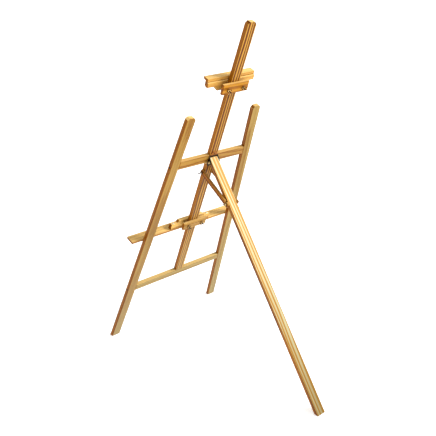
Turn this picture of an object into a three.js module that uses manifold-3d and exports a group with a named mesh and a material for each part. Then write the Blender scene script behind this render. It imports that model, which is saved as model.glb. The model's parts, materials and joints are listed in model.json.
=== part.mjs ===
// Artist's A-frame (lyre) easel in pine: two splayed front legs joined by two crossbars, a central mast that
// carries a sliding canvas holder and a sliding tray, and a rear leg hinged at the upper crossbar and held
// open by a pair of hooked stays.
//
// Units are millimetres. World frame: +Z up, the canvas side faces -Y, the rear leg stands towards +Y.
// The front frame is drawn flat in its own coordinates and then leant back: x runs across the frame, y runs
// out of its rear face (y = 0 is that face, y < 0 is wood and then the canvas side) and z runs up the frame.
import * as THREE from 'three';
import { mergeVertices } from 'three/addons/utils/BufferGeometryUtils.js';
import Module from 'manifold-3d';

const wasm = await Module();
wasm.setup();

// ---- driving dimensions ----
const GAP = 0.3; // between neighbouring solids
const SLIDE_GAP = 0.5; // between the mast and what slides on it
const CLEAR = 1; // how far a cutting tool runs past the face it cuts
const LEAN = THREE.MathUtils.degToRad(22); // front frame from vertical
const REAR_ANGLE = THREE.MathUtils.degToRad(35.3); // rear leg from vertical

// front frame
const LATH_THICKNESS = 20;
const LEG_LENGTH = 1298;
const LEG_WIDTH = 44;
const LEG_HALF_SPACING_FOOT = 325;
const LEG_HALF_SPACING_TOP = 182;
const TOP_CORNER_CUT = 10;
const MAST_WIDTH = 45;
const MAST_TOP = 1687;
const UPPER_BAR_CENTRE = 1052;
const UPPER_BAR_HEIGHT = 40;
const LOWER_BAR_CENTRE = 330;
const LOWER_BAR_HEIGHT = 34;
const LAP_DEPTH = 10; // wood left on the mast where it crosses the upper crossbar
const JOINT_SCREW_DROP = 4; // leg-to-crossbar screw below the bar's middle
const JOINT_SCREW_LENGTH = 80;
const DOWEL_RADIUS = 4;
const DOWEL_RISE = 9; // dowel above the bar's middle
const DOWEL_HALF_LENGTH = 14;
const LAP_SCREW_OFFSET = 9;
const LAP_SCREW_LENGTH = 16;
const FOOT_SCREW_LENGTH = 70;

// hinge of the rear leg
const PIVOT_HEIGHT = 1043; // up the frame
const PIVOT_OUT = 14; // behind its rear face
const REAR_LEG_WIDTH = 46;
const REAR_LEG_THICKNESS = 18;
const REAR_LEG_ABOVE_PIVOT = 60; // before its top is mitred
const MITRE_GAP = 1; // between the mitred top and the bracket
const BRACKET_STEEL = 2;
const BRACKET_INNER = 23.5;
const BRACKET_BOTTOM = 1014;
const BRACKET_SHOULDER = 1069;
const BRACKET_APEX = 1088;
const BRACKET_APEX_HALF_WIDTH = 7;
const BRACKET_CORNER = 6;
const BRACKET_SCREW_LENGTH = 9;
const EAR_RADIUS = 11;
const HINGE_BOLT_TIP = 41;
const HINGE_NUT_TURN = 0.6;

// stays
const STAY_PIVOT_HEIGHT = 974;
const STAY_PIVOT_OUT = -7;
const STAY_BOLT_FROM_PIVOT = 200; // clamp bolt, down the rear leg from its pivot
const STAY_HEIGHT = 21;
const STAY_THICKNESS = 10;
const STAY_INNER = 23.5; // inner face of each stay from the centre plane
const STAY_TAIL = 11; // wood above the upper bolt
const STAY_NOSE = 13; // wood beyond the notch
const NOTCH_WIDTH = 7.8;
const NOTCH_DEPTH = 40;
const NOTCH_ANGLE = THREE.MathUtils.degToRad(47.5); // the clamp bolt's way out of the notch
const STAY_PIVOT_TIP = 54;
const STAY_CLAMP_TIP = 43;
const CLAMP_NUT_TURN = -0.5;

// clamps of the holder and the tray
const CLAMP_HALF_WIDTH = 70;
const CLAMP_THICKNESS = 12;
const CLAMP_BOLT_OFFSET = 40; // each side of the mast
const CLAMP_BOLT_TAIL = 18; // bolt standing out behind the plate
const CLAMP_NUT_TURNS = { left: 0.7, right: 0.45 };

// canvas holder
const HOLDER_TILT = THREE.MathUtils.degToRad(2.2); // clamped a little out of square
const HOLDER_HALF_WIDTH = 127;
const HOLDER_BOTTOM = 1412;
const HOLDER_TOP = 1449;
const HOLDER_LIP = -54; // front of the lip that overhangs the canvas
const HOLDER_LIP_HEIGHT = 10;
const HOLDER_WAIST = -40; // front of the bar under the lip
const HOLDER_TOE = -32; // front of its level underside
const HOLDER_LEDGE = 1433;
const HOLDER_LEDGE_DEPTH = 5.5;
const HOLDER_PLATE_CENTRE = 1411;
const HOLDER_PLATE_HEIGHT = 46;
const HOLDER_BOLT_HEIGHT = 1406;
const HOLDER_BLOCK_DROP = 20;
const HOLDER_BLOCK_DEPTH = 14;
const HOLDER_BLOCK_HALF_WIDTH = 90;
const HOLDER_SCREW_X = 60;
const HOLDER_SCREW_LENGTH = 30;

// tray
const TRAY_HALF_WIDTH = 334;
const TRAY_DEPTH = 45;
const TRAY_THICKNESS = 12;
const TRAY_TOP = 643;
const TRAY_SEAT_DEPTH = 0.5;
const TRAY_BLOCK_HALF_WIDTH = 118;
const TRAY_BLOCK_HEIGHT = 32;
const TRAY_BLOCK_DEPTH = 18;
const TRAY_KEY_HALF_WIDTH = 84;
const TRAY_KEY_HEIGHT = 11;
const TRAY_PLATE_CENTRE = 670;
const TRAY_PLATE_HEIGHT = 40;
const TRAY_BOLT_HEIGHT = 667;
const TRAY_SCREW_X = 104;
const TRAY_SCREW_LENGTH = 40;
const BLOCK_SCREW_INSET = 7; // block screws in front of the block's rear face

// fasteners
const BOLT_RADIUS = 3;
const STAY_BOLT_RADIUS = 2.5;
const WASHER_RADIUS = 7.5;
const WASHER_THICKNESS = 1.2;
const HEX_NUT_RADIUS = 4.8;
const HEX_NUT_HEIGHT = 4.2;
const LARGE_SCREW = { head: 5, shank: 2.5 };
const SMALL_SCREW = { head: 3.6, shank: 1.6 };

const SEGMENTS = 14; // round hardware

// ---- materials ----
function wood(colour, roughness = 0.55) {
  return new THREE.MeshStandardMaterial({ color: colour, roughness, metalness: 0 });
}
const pine = wood(0xcf9f5f);
const palePine = wood(0xdcb57a);
const amberPine = wood(0xc98f48);
const beechDowel = wood(0xd9bd8f, 0.65);
const zinc = new THREE.MeshStandardMaterial({ color: 0xb9b7ae, roughness: 0.35, metalness: 0.9 });
const brownedSteel = new THREE.MeshStandardMaterial({ color: 0x5a3718, roughness: 0.4, metalness: 0.6 });
const brassedSteel = new THREE.MeshStandardMaterial({ color: 0xb08648, roughness: 0.3, metalness: 1 });

// ---- solids ----
function solidOf(geometry) {
  const bare = geometry.index ? geometry.toNonIndexed() : geometry.clone();
  bare.deleteAttribute('normal');
  bare.deleteAttribute('uv');
  const merged = mergeVertices(bare, 1e-4);
  return new wasm.Manifold(new wasm.Mesh({
    numProp: 3,
    vertProperties: new Float32Array(merged.attributes.position.array),
    triVerts: new Uint32Array(merged.index.array),
  }));
}

function geometryOf(solid) {
  const mesh = solid.getMesh();
  const geometry = new THREE.BufferGeometry();
  geometry.setAttribute('position', new THREE.BufferAttribute(new Float32Array(mesh.vertProperties), 3));
  geometry.setIndex(new THREE.BufferAttribute(new Uint32Array(mesh.triVerts), 1));
  geometry.computeVertexNormals();
  return geometry;
}

function cut(geometry, ...tools) {
  return geometryOf(tools.reduce((solid, tool) => solid.subtract(solidOf(tool)), solidOf(geometry)));
}

function join(...geometries) {
  return geometryOf(geometries.map(solidOf).reduce((whole, solid) => whole.add(solid)));
}

// A box from one corner to the opposite one.
function block(low, high) {
  const size = high.map((value, axis) => value - low[axis]);
  const box = new THREE.BoxGeometry(...size);
  return box.translate(...low.map((value, axis) => value + size[axis] / 2));
}

// A cylinder of the given radius from start to end.
function rod(radius, start, end, segments = SEGMENTS) {
  const from = new THREE.Vector3(...start);
  const to = new THREE.Vector3(...end);
  const along = to.clone().sub(from);
  const turn = new THREE.Quaternion().setFromUnitVectors(
    new THREE.Vector3(0, 1, 0), along.clone().normalize());
  const cylinder = new THREE.CylinderGeometry(radius, radius, along.length(), segments);
  return cylinder.applyQuaternion(turn).translate(...from.add(to).multiplyScalar(0.5).toArray());
}

// A cylinder along x at [y, z].
function crossRod(radius, [y, z], left, right, segments = SEGMENTS) {
  return rod(radius, [left, y, z], [right, y, z], segments);
}

// An outline of [x, z] points, made into a lath whose faces lie at y = front and y = back.
function lath(outline, front, back) {
  const shape = new THREE.Shape(outline.map(([x, z]) => new THREE.Vector2(x, z)));
  const slab = new THREE.ExtrudeGeometry(shape, { depth: back - front, bevelEnabled: false });
  return slab.rotateX(Math.PI / 2).translate(0, back, 0);
}

// An outline of [y, z] points, run along x from left to right.
function moulding(outline, left, right) {
  const shape = new THREE.Shape(outline.map(([y, z]) => new THREE.Vector2(y, z)));
  const bar = new THREE.ExtrudeGeometry(shape, { depth: right - left, bevelEnabled: false });
  return bar.rotateY(Math.PI / 2).rotateX(Math.PI / 2).translate(left, 0, 0);
}

// A turned piece: a profile of [radius, height] points about +Y, moved so that +Y points along axis.
function turned(profile, centre, axis, segments = SEGMENTS) {
  const points = profile.map(([radius, height]) => new THREE.Vector2(radius, height));
  const lathe = new THREE.LatheGeometry(points, segments);
  const turn = new THREE.Quaternion().setFromUnitVectors(
    new THREE.Vector3(0, 1, 0), new THREE.Vector3(...axis).normalize());
  return lathe.applyQuaternion(turn).translate(...centre);
}

// ---- shared hardware ----
function washer(hole, centre, axis) {
  const profile = [[hole, 0], [WASHER_RADIUS, 0], [WASHER_RADIUS, WASHER_THICKNESS],
    [hole, WASHER_THICKNESS], [hole, 0]];
  return turned(profile, centre, axis);
}

// Coach bolt: a domed head whose seat is at headSeat, and a shank from there to tip.
function coachBolt(radius, headSeat, tip) {
  const seat = new THREE.Vector3(...headSeat);
  const along = new THREE.Vector3(...tip).sub(seat).normalize();
  const wide = radius * 2.1;
  const dome = [[0, 0], [wide, 0], [wide, 0.8], [wide * 0.87, 1.8], [wide * 0.5, 2.7], [0, 3]];
  const head = turned(dome, headSeat, along.clone().negate().toArray());
  return join(head, rod(radius, seat.addScaledVector(along, -0.4).toArray(), tip));
}

// Wing nut with its seat at the origin and its bore along +Y; the wings spread along x.
function wingNut(boltRadius) {
  const bore = boltRadius + GAP;
  const hub = turned(
    [[bore, 0], [6.2, 0], [6.2, 1.2], [4.9, 6.5], [4.4, 7], [bore, 7], [bore, 0]], [0, 0, 0], [0, 1, 0]);
  const wings = [-1, 1].map((side) => {
    const outline = new THREE.Shape();
    outline.moveTo(side * 4.1, 0.8);
    outline.lineTo(side * 6.5, 2.2);
    outline.quadraticCurveTo(side * 12.6, 6.5, side * 12.4, 12);
    outline.quadraticCurveTo(side * 11.8, 14.6, side * 9.2, 13.4);
    outline.quadraticCurveTo(side * 6.2, 10.8, side * 4.1, 6.2);
    outline.closePath();
    const wing = new THREE.ExtrudeGeometry(outline, { depth: 2, bevelEnabled: false, curveSegments: 3 });
    return wing.translate(0, 0, -1);
  });
  return join(hub, ...wings);
}

// Countersunk wood screw described by { seat, along, length, size }: its own shape.
function screw({ seat, along, length, size }) {
  const way = new THREE.Vector3(...along);
  const start = new THREE.Vector3(...seat).addScaledVector(way, 1.5).toArray();
  const end = new THREE.Vector3(...seat).addScaledVector(way, length).toArray();
  const head = turned([[0, -1.1], [size.head * 0.7, -0.8], [size.head, 0], [size.shank, 2.6], [0, 2.6]],
    seat, along);
  return join(head, rod(size.shank, start, end, 8));
}

// The room that the same screw needs: larger by the gap all round and open at the mouth.
function screwRoom({ seat, along, length, size }) {
  const way = new THREE.Vector3(...along);
  const start = new THREE.Vector3(...seat).addScaledVector(way, 1.5).toArray();
  const end = new THREE.Vector3(...seat).addScaledVector(way, length + GAP).toArray();
  const mouth = size.head + GAP;
  const throat = size.shank + GAP;
  const head = turned([[0, -4], [mouth + 1, -4], [mouth + 1, -0.2], [mouth, 0], [throat, 3], [0, 3]],
    seat, along);
  return join(head, rod(throat, start, end, 8));
}

// ---- places in the world ----
const frameTurn = new THREE.Matrix4().makeRotationX(-LEAN);
const pivotRaw = new THREE.Vector3(0, PIVOT_OUT, PIVOT_HEIGHT).applyMatrix4(frameTurn);
const rearFootY = pivotRaw.y + pivotRaw.z * Math.tan(REAR_ANGLE);
const frontEdgeY = -LATH_THICKNESS / Math.cos(LEAN);
const rearEdgeY = rearFootY + REAR_LEG_THICKNESS / 2 / Math.cos(REAR_ANGLE);
const FRAME_Y = -(frontEdgeY + rearEdgeY) / 2; // puts the origin under the middle of the easel
const frameMatrix = new THREE.Matrix4().makeTranslation(0, FRAME_Y, 0).multiply(frameTurn);
const frameInverse = frameMatrix.clone().invert();

const pivot = new THREE.Vector3(0, PIVOT_OUT, PIVOT_HEIGHT).applyMatrix4(frameMatrix);
const stayPivot = new THREE.Vector3(0, STAY_PIVOT_OUT, STAY_PIVOT_HEIGHT).applyMatrix4(frameMatrix);
const rearMatrix = new THREE.Matrix4().makeTranslation(pivot.x, pivot.y, pivot.z)
  .multiply(new THREE.Matrix4().makeRotationX(REAR_ANGLE));
const rearInverse = rearMatrix.clone().invert();
const clampBolt = new THREE.Vector3(0, 0, -STAY_BOLT_FROM_PIVOT).applyMatrix4(rearMatrix);
const stayReach = clampBolt.clone().sub(stayPivot);
const STAY_LENGTH = stayReach.length();
const STAY_DROP = Math.atan2(-stayReach.z, stayReach.y);

// Everything below the floor, in the coordinates that inverse leads to.
function belowFloor(inverse) {
  return block([-600, -900, -400], [600, 1400, 0]).applyMatrix4(inverse);
}

// ---- groups ----
const easel = new THREE.Group();
const frontFrame = new THREE.Group();
frontFrame.position.set(0, FRAME_Y, 0);
frontFrame.rotation.x = -LEAN;
const holderGroup = new THREE.Group();
holderGroup.applyMatrix4(new THREE.Matrix4().makeTranslation(0, 0, HOLDER_PLATE_CENTRE)
  .multiply(new THREE.Matrix4().makeRotationY(HOLDER_TILT))
  .multiply(new THREE.Matrix4().makeTranslation(0, 0, -HOLDER_PLATE_CENTRE)));
frontFrame.add(holderGroup);
const rearAssembly = new THREE.Group();
rearAssembly.position.copy(pivot);
rearAssembly.rotation.x = REAR_ANGLE;
const stays = new THREE.Group();
stays.position.copy(stayPivot);
stays.rotation.x = -STAY_DROP;
easel.add(frontFrame, rearAssembly, stays);

function place(group, name, geometry, material) {
  const mesh = new THREE.Mesh(geometry, material);
  mesh.name = name;
  group.add(mesh);
  return mesh;
}

// One screw node for each place, numbered from 1.
function placeScrews(group, name, places, material) {
  places.forEach((spot, index) => place(group, `${name}_${index + 1}`, screw(spot), material));
}

// ---- front legs and crossbars ----
const splay = Math.atan2(LEG_HALF_SPACING_FOOT - LEG_HALF_SPACING_TOP, LEG_LENGTH);
const legHalf = LEG_WIDTH / 2;
const slantHalf = legHalf / Math.cos(splay); // half the width of a leg, measured level
const middle = -LATH_THICKNESS / 2;
const legSides = { left: 1, right: -1 };
const barLevels = { upper_bar: UPPER_BAR_CENTRE, lower_bar: LOWER_BAR_CENTRE };

// x of the middle of a leg at a height up the frame.
function legCentre(height) {
  return LEG_HALF_SPACING_FOOT - height * Math.tan(splay);
}

// A point of the leg on side +1 or -1, from an offset across it and a distance up it.
function legPoint(side, across, along) {
  const x = LEG_HALF_SPACING_FOOT - along * Math.sin(splay) + across * Math.cos(splay);
  return [side * x, along * Math.cos(splay) + across * Math.sin(splay)];
}

// The screw of a leg-to-crossbar joint, from the leg's outer face into the bar's end.
function jointScrew(side, level) {
  const seat = [side * (legCentre(level) + slantHalf), middle, level - JOINT_SCREW_DROP];
  return { seat, along: [-side, 0, 0], length: JOINT_SCREW_LENGTH, size: LARGE_SCREW };
}

// The dowel of the same joint, half in the leg and half in the bar.
function jointDowel(side, level, play = 0) {
  const height = level + DOWEL_RISE;
  const face = side * (legCentre(height) - slantHalf);
  const reach = DOWEL_HALF_LENGTH + play;
  return crossRod(DOWEL_RADIUS + play, [middle, height], face - reach, face + reach, 12);
}

function jointRooms(side) {
  return Object.values(barLevels).flatMap((level) =>
    [screwRoom(jointScrew(side, level)), jointDowel(side, level, GAP)]);
}

for (const [name, side] of Object.entries(legSides)) {
  const shoulder = LEG_LENGTH - TOP_CORNER_CUT;
  const outline = [
    legPoint(side, -legHalf, -60), legPoint(side, legHalf, -60),
    legPoint(side, legHalf, shoulder), legPoint(side, legHalf - TOP_CORNER_CUT, LEG_LENGTH),
    legPoint(side, TOP_CORNER_CUT - legHalf, LEG_LENGTH), legPoint(side, -legHalf, shoulder),
  ];
  const leg = cut(lath(outline, -LATH_THICKNESS, 0), belowFloor(frameInverse), ...jointRooms(side));
  place(frontFrame, `${name}_front_leg`, leg, side > 0 ? pine : palePine);
  for (const [barName, level] of Object.entries(barLevels)) {
    place(frontFrame, `${name}_${barName}_screw`, screw(jointScrew(side, level)), brownedSteel);
    place(frontFrame, `${name}_${barName}_dowel`, jointDowel(side, level), beechDowel);
  }
}

// A crossbar between the legs, its ends cut to their splay.
function crossbar(centre, height) {
  const low = centre - height / 2;
  const high = centre + height / 2;
  const reach = (level) => legCentre(level) - slantHalf - GAP;
  const outline = [[-reach(low), low], [reach(low), low], [reach(high), high], [-reach(high), high]];
  return lath(outline, -LATH_THICKNESS, 0);
}

const mastHalf = MAST_WIDTH / 2;
const mastBottom = LOWER_BAR_CENTRE + LOWER_BAR_HEIGHT / 2 + GAP;
const lapLow = UPPER_BAR_CENTRE - UPPER_BAR_HEIGHT / 2 - GAP;
const lapHigh = UPPER_BAR_CENTRE + UPPER_BAR_HEIGHT / 2 + GAP;

const footScrew = {
  seat: [0, middle, LOWER_BAR_CENTRE - LOWER_BAR_HEIGHT / 2],
  along: [0, 0, 1],
  length: FOOT_SCREW_LENGTH,
  size: LARGE_SCREW,
};
const lapScrews = [-LAP_SCREW_OFFSET, LAP_SCREW_OFFSET].map((offset) => ({
  seat: [offset, -LATH_THICKNESS, UPPER_BAR_CENTRE + offset],
  along: [0, 1, 0],
  length: LAP_SCREW_LENGTH,
  size: SMALL_SCREW,
}));
const bracketFace = GAP + BRACKET_STEEL;
const bracketScrews = [[0, 1079], [-11, 1022], [11, 1022]].map(([x, z]) => ({
  seat: [x, bracketFace, z],
  along: [0, -1, 0],
  length: BRACKET_SCREW_LENGTH,
  size: SMALL_SCREW,
}));

place(frontFrame, 'upper_crossbar', cut(
  crossbar(UPPER_BAR_CENTRE, UPPER_BAR_HEIGHT),
  block([-mastHalf - GAP, -LAP_DEPTH - GAP, lapLow - CLEAR], [mastHalf + GAP, CLEAR, lapHigh + CLEAR]),
  ...lapScrews.map(screwRoom), ...jointRooms(1), ...jointRooms(-1)), amberPine);
place(frontFrame, 'lower_crossbar', cut(
  crossbar(LOWER_BAR_CENTRE, LOWER_BAR_HEIGHT),
  screwRoom(footScrew), ...jointRooms(1), ...jointRooms(-1)), palePine);

// ---- mast, let into the upper crossbar and standing on the lower one ----
const mastOutline = [
  [-mastHalf, mastBottom], [mastHalf, mastBottom],
  [mastHalf, MAST_TOP - TOP_CORNER_CUT], [mastHalf - TOP_CORNER_CUT, MAST_TOP],
  [TOP_CORNER_CUT - mastHalf, MAST_TOP], [-mastHalf, MAST_TOP - TOP_CORNER_CUT],
];
const stayPivotSpot = [STAY_PIVOT_OUT, STAY_PIVOT_HEIGHT];
place(frontFrame, 'mast', cut(
  lath(mastOutline, -LATH_THICKNESS, 0),
  block([-mastHalf - CLEAR, -LATH_THICKNESS - CLEAR, lapLow], [mastHalf + CLEAR, -LAP_DEPTH, lapHigh]),
  crossRod(STAY_BOLT_RADIUS + GAP, stayPivotSpot, -mastHalf - CLEAR, mastHalf + CLEAR),
  ...[footScrew, ...lapScrews, ...bracketScrews].map(screwRoom)), amberPine);
place(frontFrame, 'mast_foot_screw', screw(footScrew), zinc);
placeScrews(frontFrame, 'mast_lap_screw', lapScrews, zinc);

// ---- rear-leg hinge: a U bracket on the back of the mast, a bolt, a washer and a wing nut ----
const bracketOuter = BRACKET_INNER + BRACKET_STEEL;
const bracketPlate = lath([
  [-bracketOuter, BRACKET_BOTTOM + BRACKET_CORNER], [-bracketOuter + BRACKET_CORNER, BRACKET_BOTTOM],
  [bracketOuter - BRACKET_CORNER, BRACKET_BOTTOM], [bracketOuter, BRACKET_BOTTOM + BRACKET_CORNER],
  [bracketOuter, BRACKET_SHOULDER], [BRACKET_APEX_HALF_WIDTH, BRACKET_APEX],
  [-BRACKET_APEX_HALF_WIDTH, BRACKET_APEX], [-bracketOuter, BRACKET_SHOULDER],
], GAP, bracketFace);
const pivotSpot = [PIVOT_OUT, PIVOT_HEIGHT];
const earOutline = [
  [GAP, PIVOT_HEIGHT - EAR_RADIUS - 4], [PIVOT_OUT, PIVOT_HEIGHT - EAR_RADIUS],
  [PIVOT_OUT + 7.1, PIVOT_HEIGHT + 8.4], [GAP, BRACKET_SHOULDER],
];
const ears = [-bracketOuter, BRACKET_INNER].map((left) => join(
  moulding(earOutline, left, left + BRACKET_STEEL),
  crossRod(EAR_RADIUS, pivotSpot, left, left + BRACKET_STEEL, 24)));
place(frontFrame, 'hinge_bracket', cut(
  join(bracketPlate, ...ears),
  crossRod(BOLT_RADIUS + GAP, pivotSpot, -bracketOuter - CLEAR, bracketOuter + CLEAR),
  ...bracketScrews.map(screwRoom)), brownedSteel);
placeScrews(frontFrame, 'hinge_bracket_screw', bracketScrews, brownedSteel);

// A bolt across the easel with its head on the right, and on the left a washer and the seat of its nut.
function crossBolt(radius, [y, z], halfGrip, tip) {
  return {
    bolt: coachBolt(radius, [-halfGrip - GAP, y, z], [tip, y, z]),
    washer: washer(radius + GAP, [halfGrip + GAP, y, z], [1, 0, 0]),
    nutSeat: halfGrip + 2 * GAP + WASHER_THICKNESS,
  };
}

const hinge = crossBolt(BOLT_RADIUS, pivotSpot, bracketOuter, HINGE_BOLT_TIP);
place(frontFrame, 'hinge_bolt', hinge.bolt, brownedSteel);
place(frontFrame, 'hinge_washer', hinge.washer, brownedSteel);
const hingeNut = place(frontFrame, 'hinge_wing_nut', wingNut(BOLT_RADIUS), brassedSteel);
hingeNut.position.set(hinge.nutSeat, PIVOT_OUT, PIVOT_HEIGHT);
hingeNut.rotation.set(HINGE_NUT_TURN, 0, -Math.PI / 2);

// Upper bolt of the stays, through the mast, with a washer and a hexagon nut.
const stayOuter = STAY_INNER + STAY_THICKNESS;
const upperStay = crossBolt(STAY_BOLT_RADIUS, stayPivotSpot, stayOuter, STAY_PIVOT_TIP);
const hexNutEnd = upperStay.nutSeat + HEX_NUT_HEIGHT;
place(frontFrame, 'stay_pivot_bolt', upperStay.bolt, brownedSteel);
place(frontFrame, 'stay_pivot_washer', upperStay.washer, brownedSteel);
place(frontFrame, 'stay_pivot_nut', cut(
  crossRod(HEX_NUT_RADIUS, stayPivotSpot, upperStay.nutSeat, hexNutEnd, 6),
  crossRod(STAY_BOLT_RADIUS + GAP, stayPivotSpot, upperStay.nutSeat - CLEAR, hexNutEnd + CLEAR)), zinc);

// ---- rear leg: its top end is mitred to lie against the bracket when the easel stands open ----
const rearHalf = REAR_LEG_WIDTH / 2;
const rearLow = -pivot.z / Math.cos(REAR_ANGLE) - 40;
const mitre = block([-80, -400, 800], [80, bracketFace + MITRE_GAP, 1300])
  .applyMatrix4(frameMatrix).applyMatrix4(rearInverse);
const clampSpot = [0, -STAY_BOLT_FROM_PIVOT];
const boltHole = (spot) => crossRod(BOLT_RADIUS + GAP, spot, -rearHalf - CLEAR, rearHalf + CLEAR);
place(rearAssembly, 'rear_leg', cut(
  block([-rearHalf, -REAR_LEG_THICKNESS / 2, rearLow],
    [rearHalf, REAR_LEG_THICKNESS / 2, REAR_LEG_ABOVE_PIVOT]),
  mitre, belowFloor(rearInverse), boltHole([0, 0]), boltHole(clampSpot)), palePine);
const lowerStay = crossBolt(BOLT_RADIUS, clampSpot, stayOuter, STAY_CLAMP_TIP);
place(rearAssembly, 'stay_clamp_bolt', lowerStay.bolt, brownedSteel);
place(rearAssembly, 'stay_clamp_washer', lowerStay.washer, brownedSteel);
const clampNut = place(rearAssembly, 'stay_clamp_wing_nut', wingNut(BOLT_RADIUS), brassedSteel);
clampNut.position.set(lowerStay.nutSeat, ...clampSpot);
clampNut.rotation.set(CLAMP_NUT_TURN, 0, -Math.PI / 2);

// ---- stays: a slat each side, hung on the mast bolt and hooked under the clamp bolt by an open notch ----
function stay(left) {
  const half = STAY_HEIGHT / 2;
  const right = left + STAY_THICKNESS;
  const slat = block([left, -STAY_TAIL, -half], [right, STAY_LENGTH + STAY_NOSE, half]);
  const mouth = block([left - CLEAR, 0, -NOTCH_WIDTH / 2], [right + CLEAR, NOTCH_DEPTH, NOTCH_WIDTH / 2])
    .rotateX(Math.PI - NOTCH_ANGLE).translate(0, STAY_LENGTH, 0);
  return cut(slat, mouth,
    crossRod(NOTCH_WIDTH / 2, [STAY_LENGTH, 0], left - CLEAR, right + CLEAR),
    crossRod(STAY_BOLT_RADIUS + GAP, [0, 0], left - CLEAR, right + CLEAR));
}
place(stays, 'left_stay', stay(STAY_INNER), amberPine);
place(stays, 'right_stay', stay(-stayOuter), amberPine);

// ---- clamps: a plate behind the mast, two bolts, washers and wing nuts, for the holder and the tray ----
const plateBack = SLIDE_GAP + CLAMP_THICKNESS;
const sliderFace = -LATH_THICKNESS - SLIDE_GAP; // rear face of what slides on the front of the mast

function span(centre, height) {
  return [centre - height / 2, centre + height / 2];
}

// Places the clamp's pieces in group, and returns the bolt holes that the clamped piece needs.
function clampSet(group, name, [plateLow, plateHigh], boltHeight, headFace) {
  const sides = { left: CLAMP_BOLT_OFFSET, right: -CLAMP_BOLT_OFFSET };
  const plate = block([-CLAMP_HALF_WIDTH, SLIDE_GAP, plateLow], [CLAMP_HALF_WIDTH, plateBack, plateHigh]);
  const holes = Object.values(sides).map((x) =>
    rod(BOLT_RADIUS + GAP, [x, HOLDER_LIP - CLEAR, boltHeight], [x, plateBack + CLEAR, boltHeight]));
  place(group, `${name}_clamp_plate`, cut(plate, ...holes), amberPine);
  for (const [side, x] of Object.entries(sides)) {
    const tip = [x, plateBack + CLAMP_BOLT_TAIL, boltHeight];
    const bolt = coachBolt(BOLT_RADIUS, [x, headFace - GAP, boltHeight], tip);
    place(group, `${name}_bolt_${side}`, bolt, brownedSteel);
    const ring = washer(BOLT_RADIUS + GAP, [x, plateBack + GAP, boltHeight], [0, 1, 0]);
    place(group, `${name}_washer_${side}`, ring, brownedSteel);
    const nut = place(group, `${name}_wing_nut_${side}`, wingNut(BOLT_RADIUS), brassedSteel);
    nut.position.set(x, plateBack + 2 * GAP + WASHER_THICKNESS, boltHeight);
    nut.rotation.y = CLAMP_NUT_TURNS[side];
  }
  return holes;
}

// ---- canvas holder: a moulded bar with an overhanging lip, and a bevelled block under it ----
const holderBlockFront = sliderFace - HOLDER_BLOCK_DEPTH;
const holderPlateSpan = span(HOLDER_PLATE_CENTRE, HOLDER_PLATE_HEIGHT);
const holderHoles = clampSet(
  holderGroup, 'holder', holderPlateSpan, HOLDER_BOLT_HEIGHT, holderBlockFront);
const lipBottom = HOLDER_TOP - HOLDER_LIP_HEIGHT;
const holderProfile = [
  [sliderFace, HOLDER_BOTTOM], [sliderFace, HOLDER_LEDGE],
  [sliderFace - HOLDER_LEDGE_DEPTH, HOLDER_LEDGE + 1.5], [sliderFace - HOLDER_LEDGE_DEPTH, HOLDER_TOP],
  [HOLDER_LIP, HOLDER_TOP + 1], [HOLDER_LIP, lipBottom + 1], [HOLDER_WAIST, lipBottom - 2],
  [HOLDER_WAIST, HOLDER_BOTTOM + 5], [HOLDER_TOE, HOLDER_BOTTOM],
];
const holderBlockTop = HOLDER_BOTTOM - GAP;
const holderBlockLow = holderBlockTop - HOLDER_BLOCK_DROP;
const holderScrews = [-HOLDER_SCREW_X, HOLDER_SCREW_X].map((x) => ({
  seat: [x, sliderFace - BLOCK_SCREW_INSET, holderBlockLow],
  along: [0, 0, 1],
  length: HOLDER_SCREW_LENGTH,
  size: SMALL_SCREW,
}));
const holderBlockOutline = [
  [HOLDER_BLOCK_DROP - HOLDER_BLOCK_HALF_WIDTH, holderBlockLow],
  [HOLDER_BLOCK_HALF_WIDTH - HOLDER_BLOCK_DROP, holderBlockLow],
  [HOLDER_BLOCK_HALF_WIDTH, holderBlockTop], [-HOLDER_BLOCK_HALF_WIDTH, holderBlockTop],
];
place(holderGroup, 'holder_bar', cut(
  moulding(holderProfile, -HOLDER_HALF_WIDTH, HOLDER_HALF_WIDTH),
  ...holderScrews.map(screwRoom)), pine);
place(holderGroup, 'holder_block', cut(
  lath(holderBlockOutline, holderBlockFront, sliderFace),
  ...holderHoles, ...holderScrews.map(screwRoom)), pine);
placeScrews(holderGroup, 'holder_block_screw', holderScrews, zinc);

// ---- tray: a plank, a block let into its rear edge for the clamp to pull on, a key on the block ----
const traySeat = TRAY_TOP - TRAY_SEAT_DEPTH;
const trayBlockLow = traySeat + GAP;
const trayBlockTop = trayBlockLow + TRAY_BLOCK_HEIGHT;
const trayBlockFront = sliderFace - TRAY_BLOCK_DEPTH;
const trayPlateSpan = span(TRAY_PLATE_CENTRE, TRAY_PLATE_HEIGHT);
const trayHoles = clampSet(frontFrame, 'tray', trayPlateSpan, TRAY_BOLT_HEIGHT, trayBlockFront);
const trayScrews = [-TRAY_SCREW_X, TRAY_SCREW_X].map((x) => ({
  seat: [x, sliderFace - BLOCK_SCREW_INSET, trayBlockTop],
  along: [0, 0, -1],
  length: TRAY_SCREW_LENGTH,
  size: LARGE_SCREW,
}));
const keyLow = trayBlockTop + GAP;
const keyHigh = keyLow + TRAY_KEY_HEIGHT;
const keyOutline = [
  [-TRAY_KEY_HALF_WIDTH, keyLow], [TRAY_KEY_HALF_WIDTH, keyLow],
  [TRAY_KEY_HALF_WIDTH - TRAY_KEY_HEIGHT, keyHigh], [TRAY_KEY_HEIGHT - TRAY_KEY_HALF_WIDTH, keyHigh],
];
const trayBlockSeat = block([-TRAY_BLOCK_HALF_WIDTH - GAP, trayBlockFront - GAP, traySeat],
  [TRAY_BLOCK_HALF_WIDTH + GAP, sliderFace + CLEAR, TRAY_TOP + CLEAR]);
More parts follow.
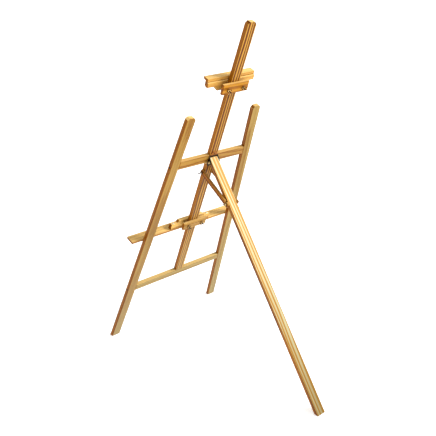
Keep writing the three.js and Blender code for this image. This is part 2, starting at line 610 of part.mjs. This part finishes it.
place(frontFrame, 'tray_plank', cut(
  block([-TRAY_HALF_WIDTH, sliderFace - TRAY_DEPTH, TRAY_TOP - TRAY_THICKNESS],
    [TRAY_HALF_WIDTH, sliderFace, TRAY_TOP]),
  trayBlockSeat, ...trayScrews.map(screwRoom)), pine);
place(frontFrame, 'tray_block', cut(
  block([-TRAY_BLOCK_HALF_WIDTH, trayBlockFront, trayBlockLow],
    [TRAY_BLOCK_HALF_WIDTH, sliderFace, trayBlockTop]),
  ...trayHoles, ...trayScrews.map(screwRoom)), palePine);
place(frontFrame, 'tray_key', lath(keyOutline, trayBlockFront, sliderFace), pine);
placeScrews(frontFrame, 'tray_block_screw', trayScrews, zinc);

export default easel;
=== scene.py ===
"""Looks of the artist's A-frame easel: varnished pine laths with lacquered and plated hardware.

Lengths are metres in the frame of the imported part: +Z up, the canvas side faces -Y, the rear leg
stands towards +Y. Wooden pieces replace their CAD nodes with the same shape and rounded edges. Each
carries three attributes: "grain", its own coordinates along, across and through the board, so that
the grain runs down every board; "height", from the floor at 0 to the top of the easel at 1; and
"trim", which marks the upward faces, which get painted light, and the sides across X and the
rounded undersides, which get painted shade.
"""
import json
import math

import bmesh
import bpy
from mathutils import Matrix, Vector

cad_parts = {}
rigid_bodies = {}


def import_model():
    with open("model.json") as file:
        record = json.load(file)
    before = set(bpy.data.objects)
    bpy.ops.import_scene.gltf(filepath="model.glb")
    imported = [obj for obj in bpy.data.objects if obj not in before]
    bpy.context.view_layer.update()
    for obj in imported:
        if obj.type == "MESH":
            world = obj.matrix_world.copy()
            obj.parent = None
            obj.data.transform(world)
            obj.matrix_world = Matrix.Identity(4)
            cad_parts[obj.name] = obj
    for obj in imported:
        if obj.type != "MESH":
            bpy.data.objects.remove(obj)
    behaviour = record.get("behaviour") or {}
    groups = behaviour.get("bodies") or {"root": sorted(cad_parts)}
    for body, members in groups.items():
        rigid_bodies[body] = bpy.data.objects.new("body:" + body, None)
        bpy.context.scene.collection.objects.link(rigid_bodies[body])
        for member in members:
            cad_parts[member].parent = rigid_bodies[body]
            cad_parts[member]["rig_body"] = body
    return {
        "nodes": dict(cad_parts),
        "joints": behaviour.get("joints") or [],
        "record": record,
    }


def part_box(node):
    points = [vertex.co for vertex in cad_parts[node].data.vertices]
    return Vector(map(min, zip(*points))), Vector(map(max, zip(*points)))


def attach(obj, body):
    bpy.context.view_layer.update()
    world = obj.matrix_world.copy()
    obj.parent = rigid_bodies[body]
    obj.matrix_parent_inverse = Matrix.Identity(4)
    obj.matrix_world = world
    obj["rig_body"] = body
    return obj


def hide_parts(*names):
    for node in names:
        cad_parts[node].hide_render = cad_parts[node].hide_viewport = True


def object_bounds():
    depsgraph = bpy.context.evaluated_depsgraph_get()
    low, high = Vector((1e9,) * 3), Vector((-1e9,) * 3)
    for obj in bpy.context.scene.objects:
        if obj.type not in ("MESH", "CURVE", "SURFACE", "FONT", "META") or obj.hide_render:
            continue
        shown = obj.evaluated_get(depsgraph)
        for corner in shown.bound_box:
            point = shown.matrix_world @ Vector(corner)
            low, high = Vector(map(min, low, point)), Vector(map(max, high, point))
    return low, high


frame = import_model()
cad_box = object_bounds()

# ---- camera, from the straight edges of the photographed easel ----
CAMERA_AZIMUTH = math.radians(138.51)
CAMERA_ELEVATION = math.radians(22.39)
CAMERA_PLACE = Vector((1.6823, 1.7954, 1.7441))
CAMERA_LENS = 49.54         # millimetres, as Blender has it
CAMERA_SENSOR = 36.0        # millimetres

# ---- top and directions of the easel, from its box and its joints ----
TOP = cad_box[1][2]
joints = {joint["name"]: joint for joint in frame["joints"]}
ACROSS = Vector((1, 0, 0))
UP = Vector(joints["tray_slide"]["axis"])
OUT = Vector(joints["tray_nut_left_turn"]["axis"])
REAR_PIVOT = Vector(joints["rear_leg_fold"]["pos_m"])
STAY_PIVOT = Vector(joints["left_stay_swing"]["pos_m"])
STAY_CLAMP = Vector(joints["stay_nut_turn"]["pos_m"])
HOLDER_LEFT = Vector(joints["holder_nut_left_turn"]["pos_m"])
HOLDER_RIGHT = Vector(joints["holder_nut_right_turn"]["pos_m"])
SHOULDER_RISE = 0.027       # from the pivot to where the bracket's plate begins to taper
BRACKET_SHOULDER = REAR_PIVOT.z + SHOULDER_RISE
LEG_SPREAD = 0.143          # how much further out a front leg's foot is than its top
LEG_LENGTH = 1.298
LEG_SPLAY = math.atan2(LEG_SPREAD, LEG_LENGTH)


def flattened(vector):
    """The direction of a vector in the easel's side plane."""
    return Vector((0, vector.y, vector.z)).normalized()


REAR_ALONG = flattened(STAY_CLAMP - REAR_PIVOT)
REAR_OUT = REAR_ALONG.cross(ACROSS)
STAY_ALONG = flattened(STAY_CLAMP - STAY_PIVOT)
HOLDER_ALONG = (HOLDER_LEFT - HOLDER_RIGHT).normalized()


def leg_along(side):
    """The direction up a front leg; side is 1 for the left one and -1 for the right one."""
    return UP * math.cos(LEG_SPLAY) - ACROSS * side * math.sin(LEG_SPLAY)


# ---- node trees ----
def new_material(name):
    material = bpy.data.materials.new(name)
    material.use_nodes = True
    return material


# sockets of the colour version of the Mix node
MIX_FACTOR, MIX_FIRST, MIX_SECOND, MIX_RESULT = 0, 6, 7, 2


class Tree:
    """Short ways to add and join shader nodes of one material."""

    def __init__(self, material):
        self.nodes = material.node_tree.nodes
        self.links = material.node_tree.links
        self.shader = self.nodes["Principled BSDF"]

    def put(self, socket, value):
        if isinstance(value, bpy.types.NodeSocket):
            self.links.new(value, socket)
        else:
            socket.default_value = value

    def add(self, kind, inputs=(), **settings):
        node = self.nodes.new(kind)
        for name, value in settings.items():
            setattr(node, name, value)
        for index, value in dict(inputs).items():
            self.put(node.inputs[index], value)
        return node

    def math(self, operation, first, second=0.0):
        node = self.add("ShaderNodeMath", {0: first, 1: second}, operation=operation)
        return node.outputs[0]

    def vector(self, operation, first, second):
        node = self.add("ShaderNodeVectorMath", {0: first, 1: second}, operation=operation)
        return node.outputs["Vector"]

    def length(self, value):
        node = self.add("ShaderNodeVectorMath", {0: value}, operation="LENGTH")
        return node.outputs["Value"]

    def noise(self, place, scale, detail=2.0, roughness=0.5):
        inputs = {"Vector": place, "Scale": scale, "Detail": detail, "Roughness": roughness}
        return self.add("ShaderNodeTexNoise", inputs)

    def mix(self, factor, first, second, blend="MIX"):
        node = self.add("ShaderNodeMix", data_type="RGBA", blend_type=blend, clamp_factor=True)
        self.put(node.inputs[MIX_FACTOR], factor)
        self.put(node.inputs[MIX_FIRST], first)
        self.put(node.inputs[MIX_SECOND], second)
        return node.outputs[MIX_RESULT]

    def ramp(self, value, stops):
        """Grey levels along a value; each stop is a position and a level."""
        node = self.add("ShaderNodeValToRGB", {0: value})
        elements = node.color_ramp.elements
        while len(elements) < len(stops):
            elements.new(0.5)
        for element, (position, level) in zip(elements, stops):
            element.position = position
            element.color = (level, level, level, 1)
        return node.outputs[0]

    def scaled(self, value, factor, offset):
        """value times factor plus offset."""
        return self.math("ADD", self.math("MULTIPLY", value, factor), offset)

    def bump(self, height, distance, strength):
        inputs = {"Height": height, "Distance": distance, "Strength": strength}
        node = self.add("ShaderNodeBump", inputs)
        self.links.new(node.outputs[0], self.shader.inputs["Normal"])


def srgb(red, green, blue):
    """A screen colour, each channel 0 to 255, as the linear values that a shader takes."""
    values = []
    for channel in (red, green, blue):
        part = channel / 255
        values.append(part / 12.92 if part <= 0.04045 else ((part + 0.055) / 1.055) ** 2.4)
    return (*values, 1)


# ---- pine ----
# how late wood grows over one ring, and where streaks stand out of their noise
RING_PROFILE = ((0.0, 0.6), (0.12, 0.0), (0.5, 0.0), (0.68, 1.0), (0.92, 1.0))
STREAK_PROFILE = ((0.4, 0.0), (0.62, 1.0))

# features of each noise to a metre along, across and through the board
WANDER_DENSITY = (1.6, 9, 9)
UNEVEN_DENSITY = (0.5, 60, 60)
FIBRE_DENSITY = (14, 900, 900)
STREAK_DENSITY = (1.1, 110, 110)
PATCH_DENSITY = (3.5, 22, 22)

FINE_RINGS = 2.3            # fine rings to one broad ring
RING_WANDER = 0.03          # width of the band in which the rings stray sideways
RING_SLANT = 0.004          # how much the place along the trunk counts towards a ring's radius
UNEVEN_RINGS = 0.9          # by how many rings, at most, they are shifted
FINE_SHARE = 0.15           # late wood that the fine rings add
STREAK_SHARE = 0.35         # late wood that the streaks add
EARLY_BIAS = 0.12           # late wood taken off everywhere
SHADED_SIDE_CONTRAST = 0.9         # late wood in the painted shade of the sides, next to the flat faces
FOOT_FADE = 3.0             # power of the fade towards the foot
FOOT_SHARE = 0.6            # how much of the foot's tone there is at the floor
FIBRE_SHADE = (0.5, 0.75)   # factor and offset of the brightness that the fibres give
PATCH_SHADE = (0.3, 0.85)   # the same for the patches
FIBRE_MATT = 0.22           # roughness from the fibres
PATCH_MATT = 0.12           # roughness from the patches
MEAN_MATT = (FIBRE_MATT + PATCH_MATT) / 2
FIBRE_RELIEF = 0.6
FINE_RELIEF = 0.4

# painted shade for the sides and undersides, and painted light for the upward faces
SHADED_SIDE_EARLY = srgb(148, 86, 0)
SHADED_SIDE_LATE = srgb(96, 42, 0)
PAINTED_TOP_LIGHT = srgb(242, 202, 126)
VARNISH = (1.0, 0.8, 0.45, 1.0)
PALE_FOOT = srgb(142, 134, 98)
DULL_FOOT = srgb(56, 48, 14)
BAR_EARLY = srgb(162, 120, 50)
BAR_LATE = srgb(124, 72, 8)


def pine(name, early, late, spacing, contrast,
         top_light=0.7, foot=PALE_FOOT, roughness=0.46, specular=0.2):
    """Varnished pine.

    Growth rings are cut lengthwise, spacing apart, from early to late wood at the given contrast.
    The upward faces get a share of painted light, as if lit from above, and foot is the tone the
    wood fades to near the floor.
    """
    material = new_material(name)
    t = Tree(material)
    grain = t.add("ShaderNodeAttribute", attribute_name="grain").outputs["Vector"]
    height = t.add("ShaderNodeAttribute", attribute_name="height").outputs["Fac"]
    trim = t.add("ShaderNodeAttribute", attribute_name="trim").outputs["Vector"]
    # trim marks the upward faces, which get painted light, and the sides, which get painted shade
    upward, side = t.add("ShaderNodeSeparateXYZ", {0: trim}).outputs[:2]

    def speckle(density, detail, octaves=0.5):
        """Noise over the grain coordinates; octaves is the weight of its finer layers."""
        return t.noise(t.vector("MULTIPLY", grain, density), 1.0, detail, octaves).outputs

    # rings about a pith outside the board, wandering a little along it
    slow = speckle(WANDER_DENSITY, 2.0)["Color"]
    wander = t.vector("SUBTRACT", slow, (0.5, 0.5, 0.5))
    wander = t.vector("MULTIPLY", wander, (0, RING_WANDER, RING_WANDER))
    radius = t.length(t.vector("MULTIPLY", t.vector("ADD", grain, wander), (RING_SLANT, 1, 1)))
    uneven = t.math("MULTIPLY", speckle(UNEVEN_DENSITY, 1.0)["Fac"], UNEVEN_RINGS)
    count = t.math("ADD", t.math("DIVIDE", radius, spacing), uneven)
    broad = t.ramp(t.math("FRACT", count), RING_PROFILE)
    narrow = t.ramp(t.math("FRACT", t.math("MULTIPLY", count, FINE_RINGS)), RING_PROFILE)

    # fibres, broad streaks and slow drifts of tone
    fibre = speckle(FIBRE_DENSITY, 3.0, 0.6)["Fac"]
    streak = t.ramp(speckle(STREAK_DENSITY, 3.0, 0.55)["Fac"], STREAK_PROFILE)
    patch = speckle(PATCH_DENSITY, 2.0)["Fac"]

    # late wood, then the painted shade on the sides, the painted light on the tops and the foot
    amount = t.math("MULTIPLY", broad, contrast)
    amount = t.math("ADD", amount, t.math("MULTIPLY", narrow, FINE_SHARE))
    amount = t.math("ADD", amount, t.math("MULTIPLY", streak, STREAK_SHARE))
    amount = t.math("SUBTRACT", amount, EARLY_BIAS)
    shaded_side_colour = t.mix(t.math("MULTIPLY", amount, SHADED_SIDE_CONTRAST), SHADED_SIDE_EARLY, SHADED_SIDE_LATE)
    colour = t.mix(side, t.mix(amount, early, late), shaded_side_colour)
    colour = t.mix(t.math("MULTIPLY", upward, top_light), colour, PAINTED_TOP_LIGHT)
    nearness = t.math("POWER", t.math("SUBTRACT", 1.0, height), FOOT_FADE)
    faded = t.math("MULTIPLY", nearness, FOOT_SHARE)
    faded = t.math("MULTIPLY", faded, t.math("SUBTRACT", 1.0, side))
    colour = t.mix(faded, colour, foot)
    level = t.math("MULTIPLY", t.scaled(fibre, *FIBRE_SHADE), t.scaled(patch, *PATCH_SHADE))
    shade = t.add("ShaderNodeCombineColor", {0: level, 1: level, 2: level}).outputs[0]
    t.put(t.shader.inputs["Base Color"], t.mix(1.0, colour, shade, "MULTIPLY"))

    # the gloss is uneven about its mean, and the grain stands a little proud
    matt = t.math("MULTIPLY", fibre, FIBRE_MATT)
    matt = t.math("ADD", matt, t.math("MULTIPLY", patch, PATCH_MATT))
    t.put(t.shader.inputs["Roughness"], t.math("ADD", matt, roughness - MEAN_MATT))
    relief = t.math("MULTIPLY", fibre, FIBRE_RELIEF)
    relief = t.math("ADD", relief, t.math("MULTIPLY", narrow, FINE_RELIEF))
    t.bump(relief, distance=0.0004, strength=0.5)
    t.shader.inputs["Specular IOR Level"].default_value = specular
    t.shader.inputs["Specular Tint"].default_value = VARNISH
    return material


leg_pine = pine("leg_pine", srgb(154, 119, 56), srgb(124, 78, 16), spacing=0.012, contrast=0.6)
pale_pine = pine(
    "pale_pine", srgb(155, 126, 66), srgb(125, 86, 22), spacing=0.012, contrast=0.65, top_light=0.5)
mast_pine = pine("mast_pine", srgb(190, 140, 54), srgb(88, 36, 0), spacing=0.014, contrast=1.7)
rear_pine = pine(
    "rear_pine", srgb(192, 184, 142), srgb(164, 110, 0), spacing=0.014, contrast=1.9,
    foot=DULL_FOOT, roughness=0.4, specular=0.3)
bar_pine = pine("bar_pine", BAR_EARLY, BAR_LATE, spacing=0.010, contrast=0.7, top_light=0.4)
# the stays' wood is the bars' wood with less painted light on their tops
stay_pine = pine("stay_pine", BAR_EARLY, BAR_LATE, spacing=0.010, contrast=0.7, top_light=0.1)
plate_pine = pine(
    "plate_pine", srgb(178, 120, 26), srgb(122, 66, 0), spacing=0.012, contrast=0.7, top_light=0.5)
moulded_pine = pine(
    "moulded_pine", srgb(202, 154, 76), srgb(156, 94, 16), spacing=0.012, contrast=0.6, top_light=0.65)
tray_pine = pine(
    "tray_pine", srgb(214, 168, 84), srgb(150, 90, 12), spacing=0.012, contrast=1.0, top_light=0.6)


# ---- dowels and metal ----
BEECH_DENSITY = (60, 1100, 1100)
SCRATCH_DENSITY = (400, 2600, 400)
# dark clouds on the metal: stains, and on the brassed nuts painted shade beside their wings
STAIN_AND_SHADE_DENSITY = 260.0
STAIN_AND_SHADE_PROFILE = ((0.42, 0.0), (0.6, 1.0))
LACQUER_DENSITY = 240.0
LACQUER_RAGGED = 0.008      # height of the ragged edge between the dark lacquer and the painted reflection at the tip
LACQUER_BLEND = 0.006       # height over which one passes into the other
TIP_REFLECTION_PROFILE = ((0.0, 0.0), (1.0, 1.0))


def dowel_material():
    """Bare beech with fine fibres."""
    material = new_material("beech_dowel")
    t = Tree(material)
    place = t.add("ShaderNodeTexCoord").outputs["Object"]
    fibre = t.noise(t.vector("MULTIPLY", place, BEECH_DENSITY), 1.0, 3.0).outputs["Fac"]
    t.put(t.shader.inputs["Base Color"], t.mix(fibre, srgb(206, 176, 128), srgb(160, 120, 74)))
    t.put(t.shader.inputs["Roughness"], t.scaled(fibre, 0.2, 0.5))
    t.bump(fibre, distance=0.0002, strength=0.5)
    return material


def plated(name, clean, stain_and_shade_colour, metallic, roughness, specular=0.5):
    """Plated or browned steel: cloudy colour, whose dark clouds are partly stains and partly
    painted shade, fine scratches and a grainy surface.
    """
    material = new_material(name)
    t = Tree(material)
    place = t.add("ShaderNodeTexCoord").outputs["Object"]
    cloud = t.noise(place, STAIN_AND_SHADE_DENSITY, 4.0, 0.6).outputs["Fac"]
    stain_and_shade_mask = t.ramp(cloud, STAIN_AND_SHADE_PROFILE)
    scratch = t.noise(t.vector("MULTIPLY", place, SCRATCH_DENSITY), 1.0, 2.0).outputs["Fac"]
    t.put(t.shader.inputs["Base Color"], t.mix(stain_and_shade_mask, clean, stain_and_shade_colour))
    t.put(t.shader.inputs["Roughness"], t.scaled(scratch, 0.25, roughness))
    t.bump(scratch, distance=0.00005, strength=0.3)
    t.shader.inputs["Metallic"].default_value = metallic
    t.shader.inputs["Specular IOR Level"].default_value = specular
    return material


def hinge_lacquer():
    """Dark brown lacquer on the hinge bracket, with a painted brown reflection on the tip of its
    plate.
    """
    material = new_material("hinge_lacquer")
    t = Tree(material)
    place = t.add("ShaderNodeTexCoord").outputs["Object"]
    level = t.add("ShaderNodeSeparateXYZ", {0: place}).outputs["Z"]
    cloud = t.noise(place, LACQUER_DENSITY, 4.0, 0.6).outputs["Fac"]
    # above the shoulder, the tip of the plate gets a painted brown reflection in place of the
    # lacquer
    ragged = t.math("MULTIPLY", t.math("SUBTRACT", cloud, 0.5), LACQUER_RAGGED)
    above = t.math("SUBTRACT", t.math("ADD", level, ragged), BRACKET_SHOULDER)
    tip_reflection = t.ramp(t.math("DIVIDE", above, LACQUER_BLEND), TIP_REFLECTION_PROFILE)
    lacquer = t.mix(cloud, srgb(22, 12, 6), srgb(46, 26, 12))
    t.put(t.shader.inputs["Base Color"], t.mix(tip_reflection, lacquer, srgb(142, 84, 22)))
    t.put(t.shader.inputs["Roughness"], t.scaled(cloud, 0.3, 0.25))
    t.bump(cloud, distance=0.0001, strength=0.4)
    t.shader.inputs["Specular IOR Level"].default_value = 0.2
    t.shader.inputs["Specular Tint"].default_value = VARNISH
    return material


# ---- boards ----
EDGE_RADIUS = 0.0016
LONG_EDGE = 0.009
WIDE_FACE = 0.003           # more than the facets of a bore have
SHARP = math.radians(25)
SAME_PLANE = math.radians(0.5)
SAME_POINT = 1e-6
SLIVER = 1e-5

# how far a face has to point up, for painted light, or to the side or down, for painted shade, as a
# part of its unit normal
FLAT_UPWARD = 0.7
FLAT_SIDE = 0.7
ROUNDED_UPWARD = 0.4
ROUNDED_SIDE = 0.35
ROUNDED_UNDER = -0.3


def width_of(face):
    """The width of a face, from its area and its longest edge."""
    return face.calc_area() / max(edge.calc_length() for edge in face.edges)


def shortest_neighbour(edge):
    """The length of the shortest edge that meets this one, or of this one."""
    return min(other.calc_length() for end in edge.verts for other in end.link_edges)


def can_be_rounded(edge):
    """Whether an edge is long, sharp and no part of a bore.

    One that meets a very short edge is left out, as it would hold back the rounding of the board.
    """
    if len(edge.link_faces) != 2 or edge.calc_length() <= LONG_EDGE:
        return False
    if edge.calc_face_angle(0) <= SHARP or shortest_neighbour(edge) <= 2 * EDGE_RADIUS:
        return False
    return min(width_of(face) for face in edge.link_faces) > WIDE_FACE


def round_edges(mesh):
    """Rounds the long sharp edges of a mesh, and returns the indices of the rounding's faces."""
    bm = bmesh.new()
    bm.from_mesh(mesh)
    bmesh.ops.remove_doubles(bm, verts=bm.verts, dist=SAME_POINT)
    bmesh.ops.dissolve_limit(bm, angle_limit=SAME_PLANE, verts=bm.verts, edges=bm.edges)
    rounded = bmesh.ops.bevel(
        bm, geom=[edge for edge in bm.edges if can_be_rounded(edge)], offset=EDGE_RADIUS,
        offset_type="OFFSET", segments=2, profile=0.5, affect="EDGES", clamp_overlap=True)
    bmesh.ops.dissolve_degenerate(bm, dist=SLIVER, edges=bm.edges)
    bm.faces.index_update()
    marks = {face.index for face in rounded["faces"] if face.is_valid}
    bm.to_mesh(mesh)
    bm.free()
    return marks


def trim_of(normal, is_rounded):
    """Whether a face gets painted light as an upward one, and painted shade as a side or underside.
    """
    if is_rounded:
        is_upward = normal.z > ROUNDED_UPWARD
        is_shaded_side = not is_upward and (normal.x > ROUNDED_SIDE or normal.z < ROUNDED_UNDER)
    else:
        is_upward = normal.z > FLAT_UPWARD
        is_shaded_side = abs(normal.x) > FLAT_SIDE
    return is_upward, is_shaded_side


def board(node, material, along, thick, pith, slot):
    """Puts a wooden piece in place of a CAD node.

    along and thick are directions along and through the board. pith says where the middle of the
    board lies in its trunk: along it, and away from its pith across and through the board.
    """
    source = frame["nodes"][node]
    mesh = source.data.copy()
    mesh.name = node + "_wood"
    mesh.materials.clear()
    mesh.materials.append(material)
    marks = round_edges(mesh)
    piece = bpy.data.objects.new(node + "_wood", mesh)
    bpy.context.scene.collection.objects.link(piece)

    low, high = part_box(node)
    centre = (low + high) / 2
    along = along.normalized()
    thick = (thick - along * thick.dot(along)).normalized()
    wide = thick.cross(along)
    grain = mesh.attributes.new("grain", "FLOAT_VECTOR", "POINT")
    for vertex, value in zip(mesh.vertices, grain.data):
        offset = vertex.co - centre
        parts = (offset.dot(along), offset.dot(wide), offset.dot(thick))
        value.vector = [part + start for part, start in zip(parts, pith)]
    height = mesh.attributes.new("height", "FLOAT", "POINT")
    for vertex, value in zip(mesh.vertices, height.data):
        value.value = vertex.co.z / TOP
    trim = mesh.attributes.new("trim", "FLOAT_VECTOR", "FACE")
    for face, value in zip(mesh.polygons, trim.data):
        is_upward, is_shaded_side = trim_of(face.normal, face.index in marks)
        value.vector = (float(is_upward), float(is_shaded_side), 0)
    body = source["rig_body"]
    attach(piece, body)
    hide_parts(node)


# node: material, direction along it, direction through it, place in its trunk, slot of the record
BOARDS = {
    "left_front_leg": (leg_pine, leg_along(1), OUT, (0.3, 0.012, 0.09), "pine"),
    "right_front_leg": (pale_pine, leg_along(-1), OUT, (1.7, -0.02, 0.10), "pale_pine"),
    "mast": (mast_pine, UP, OUT, (4.1, 0.098, 0.012), "amber_pine"),
    "upper_crossbar": (bar_pine, ACROSS, OUT, (6.3, 0.03, 0.08), "amber_pine"),
    "lower_crossbar": (pale_pine, ACROSS, OUT, (7.9, 0.04, 0.07), "pale_pine"),
    "rear_leg": (rear_pine, REAR_ALONG, REAR_OUT, (9.2, 0.06, 0.03), "pale_pine"),
    "left_stay": (stay_pine, STAY_ALONG, ACROSS, (11.4, 0.05, 0.03), "amber_pine"),
    "right_stay": (stay_pine, STAY_ALONG, ACROSS, (12.8, 0.03, 0.05), "amber_pine"),
    "holder_bar": (moulded_pine, HOLDER_ALONG, OUT, (14.3, 0.06, 0.05), "pine"),
    "holder_block": (bar_pine, HOLDER_ALONG, OUT, (15.1, 0.04, 0.06), "pine"),
    "holder_clamp_plate": (plate_pine, HOLDER_ALONG, OUT, (16.9, 0.05, 0.05), "amber_pine"),
    "tray_plank": (tray_pine, ACROSS, UP, (18.2, 0.09, 0.02), "pine"),
    "tray_block": (tray_pine, ACROSS, OUT, (19.7, 0.03, 0.06), "pale_pine"),
    "tray_key": (tray_pine, ACROSS, OUT, (21.4, 0.05, 0.04), "pine"),
    "tray_clamp_plate": (bar_pine, ACROSS, OUT, (23.3, 0.09, 0.012), "amber_pine"),
}
for node, settings in BOARDS.items():
    board(node, *settings)


# ---- hardware and dowels keep their CAD shape ----
SMOOTH_BELOW = math.radians(35)
FINISHES = {
    # dark browned steel; on the washers under the wing nuts its dark tone is also painted shade
    # from the nuts
    "browned_steel": plated(
        "browned_steel", srgb(72, 38, 10), srgb(26, 13, 4),
        metallic=0.1, roughness=0.32, specular=0.2),
    # about half of each brassed nut is clouded dark, as painted shade
    "brassed_steel": plated(
        "brassed_steel", srgb(244, 214, 148), srgb(44, 26, 10), metallic=1.0, roughness=0.14),
    "zinc": plated(
        "zinc_plating", srgb(224, 218, 200), srgb(168, 160, 142), metallic=0.95, roughness=0.16),
    "dowel": dowel_material(),
}
bracket_finish = hinge_lacquer()
slots = {row["node"]: row["material_slot"] for row in frame["record"]["subparts"]}
for node, piece in frame["nodes"].items():
    if node in BOARDS:
        continue
    finish = bracket_finish if node == "hinge_bracket" else FINISHES[slots[node]]
    piece.data.materials.clear()
    piece.data.materials.append(finish)
    piece.data.shade_smooth()
    piece.data.set_sharp_from_angle(angle=SMOOTH_BELOW)


# ---- floor, light and camera ----
KEY_DIRECTION = Vector((-0.60, 0.56, 0.57)).normalized()    # towards the light
KEY_SPREAD = math.radians(18)
KEY_POWER = 3.8
KEY_COLOUR = (1.0, 0.98, 0.94)
WORLD_DIM = 0.64            # away from the key light
WORLD_BRIGHT = 0.85         # towards it
FLOOR_HALF_WIDTH = 150.0
FLOOR_LEVEL = -0.001        # just under the feet
FLOOR_GLOW = 0.42
FLOOR_TONES = ((0.93, 0.93, 0.93, 1), (0.96, 0.96, 0.96, 1))
WHITE = (1, 1, 1, 1)


def make_key_light():
    light = bpy.data.lights.new("key", "SUN")
    light.energy = KEY_POWER
    light.angle = KEY_SPREAD
    light.color = KEY_COLOUR
    lamp = bpy.data.objects.new("key", light)
    bpy.context.scene.collection.objects.link(lamp)
    lamp.rotation_euler = KEY_DIRECTION.to_track_quat("Z", "Y").to_euler()


def make_world():
    """A soft surround, brighter on the side of the key light."""
    world = bpy.data.worlds.new("studio")
    world.use_nodes = True
    nodes = world.node_tree.nodes
    links = world.node_tree.links
    direction = nodes.new("ShaderNodeTexCoord").outputs["Generated"]
    towards = nodes.new("ShaderNodeVectorMath")
    towards.operation = "DOT_PRODUCT"
    towards.inputs[1].default_value = KEY_DIRECTION
    links.new(direction, towards.inputs[0])
    strength = nodes.new("ShaderNodeMapRange")
    strength.inputs["From Min"].default_value = -1
    strength.inputs["From Max"].default_value = 1
    strength.inputs["To Min"].default_value = WORLD_DIM
    strength.inputs["To Max"].default_value = WORLD_BRIGHT
    links.new(towards.outputs["Value"], strength.inputs["Value"])
    background = nodes["Background"]
    background.inputs["Color"].default_value = WHITE
    links.new(strength.outputs[0], background.inputs["Strength"])
    bpy.context.scene.world = world


def make_floor():
    """A pale floor that glows a little, to come out as white as the photograph's ground."""
    mesh = bpy.data.meshes.new("floor")
    quarters = ((-1, -1), (1, -1), (1, 1), (-1, 1))
    corners = [(x * FLOOR_HALF_WIDTH, y * FLOOR_HALF_WIDTH, FLOOR_LEVEL) for x, y in quarters]
    mesh.from_pydata(corners, [], [(0, 1, 2, 3)])
    floor = bpy.data.objects.new("floor", mesh)
    bpy.context.scene.collection.objects.link(floor)
    material = new_material("floor_paper")
    t = Tree(material)
    place = t.add("ShaderNodeTexCoord").outputs["Object"]
    tooth = t.noise(place, 40.0, 2.0).outputs["Fac"]
    t.put(t.shader.inputs["Base Color"], t.mix(tooth, *FLOOR_TONES))
    t.shader.inputs["Roughness"].default_value = 0.9
    t.shader.inputs["Specular IOR Level"].default_value = 0.1
    t.shader.inputs["Emission Color"].default_value = WHITE
    t.shader.inputs["Emission Strength"].default_value = FLOOR_GLOW
    mesh.materials.append(material)


def make_camera():
    settings = bpy.data.cameras.new("camera")
    settings.lens = CAMERA_LENS
    settings.sensor_width = CAMERA_SENSOR
    camera = bpy.data.objects.new("camera", settings)
    bpy.context.scene.collection.objects.link(camera)
    camera.location = CAMERA_PLACE
    from_easel = Vector((
        math.sin(CAMERA_AZIMUTH) * math.cos(CAMERA_ELEVATION),
        -math.cos(CAMERA_AZIMUTH) * math.cos(CAMERA_ELEVATION),
        math.sin(CAMERA_ELEVATION),
    ))
    camera.rotation_euler = from_easel.to_track_quat("Z", "Y").to_euler()
    bpy.context.scene.camera = camera


make_floor()
make_key_light()
make_world()
make_camera()
bpy.context.scene.view_settings.view_transform = "Standard"
